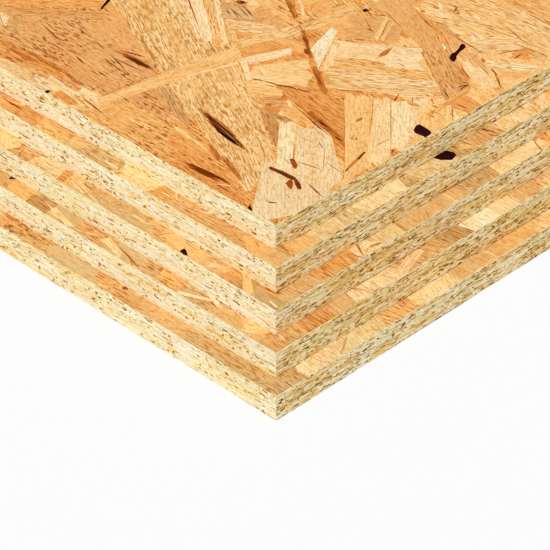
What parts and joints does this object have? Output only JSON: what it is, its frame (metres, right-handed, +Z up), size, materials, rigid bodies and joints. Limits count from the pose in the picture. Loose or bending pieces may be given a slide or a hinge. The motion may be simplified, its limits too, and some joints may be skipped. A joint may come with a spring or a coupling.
{
  "type": "stack of osb panels",
  "caption": "Stack of square-edged oriented strand board panels, staggered evenly at one corner, lying flat as sheet stock for floors, walls and roofs.",
  "frame": {"origin": "floor level, in the middle of the stack's footprint", "axes": "+Z up; +X along the panels' length; each panel lies back towards -X and +Y from the one below, so the stepped corner is at +X, -Y"},
  "size_m": [1.2696, 0.6596, 0.09],
  "materials": {
    "osb": "pressed wood strands, unsanded, with sawn edges"
  },
  "bodies": {
    "root": {"panel_1": "osb", "panel_2": "osb", "panel_3": "osb", "panel_4": "osb", "panel_5": "osb"}
  },
  "joints": []
}
